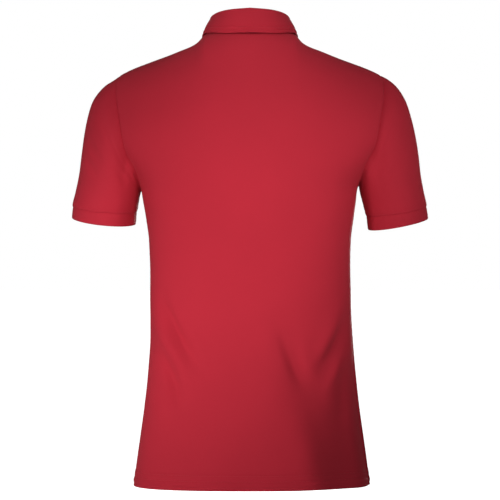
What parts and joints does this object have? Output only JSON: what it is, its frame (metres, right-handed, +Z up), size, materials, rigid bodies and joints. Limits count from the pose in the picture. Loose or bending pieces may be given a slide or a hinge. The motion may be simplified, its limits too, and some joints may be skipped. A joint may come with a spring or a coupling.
{
  "type": "polo shirt",
  "caption": "Short-sleeved polo shirt with a turned-down knit collar, buttoned placket, set-in sleeves, knit cuffs and a flared hem, filled out as if worn.",
  "frame": {"origin": "centre of the neck opening, level with the neck ends of the shoulder seams, where the wearer's shoulders hold the shirt up", "axes": "+Z up, the front of the shirt faces -Y, the wearer's left is +X"},
  "size_m": [0.5722, 0.2452, 0.7578],
  "materials": {
    "pique_knit": "matte cotton pique knit, red",
    "flat_knit": "matte fine flat knit, red",
    "dyed_button": "satin dyed resin, red"
  },
  "bodies": {
    "root": {"back_panel": "pique_knit", "front_panel": "pique_knit", "sleeve_left": "pique_knit", "sleeve_right": "pique_knit", "cuff_left": "flat_knit", "cuff_right": "flat_knit", "collar": "flat_knit", "placket_over": "pique_knit", "placket_under": "pique_knit", "button_1": "dyed_button", "button_2": "dyed_button", "button_3": "dyed_button"}
  },
  "joints": []
}
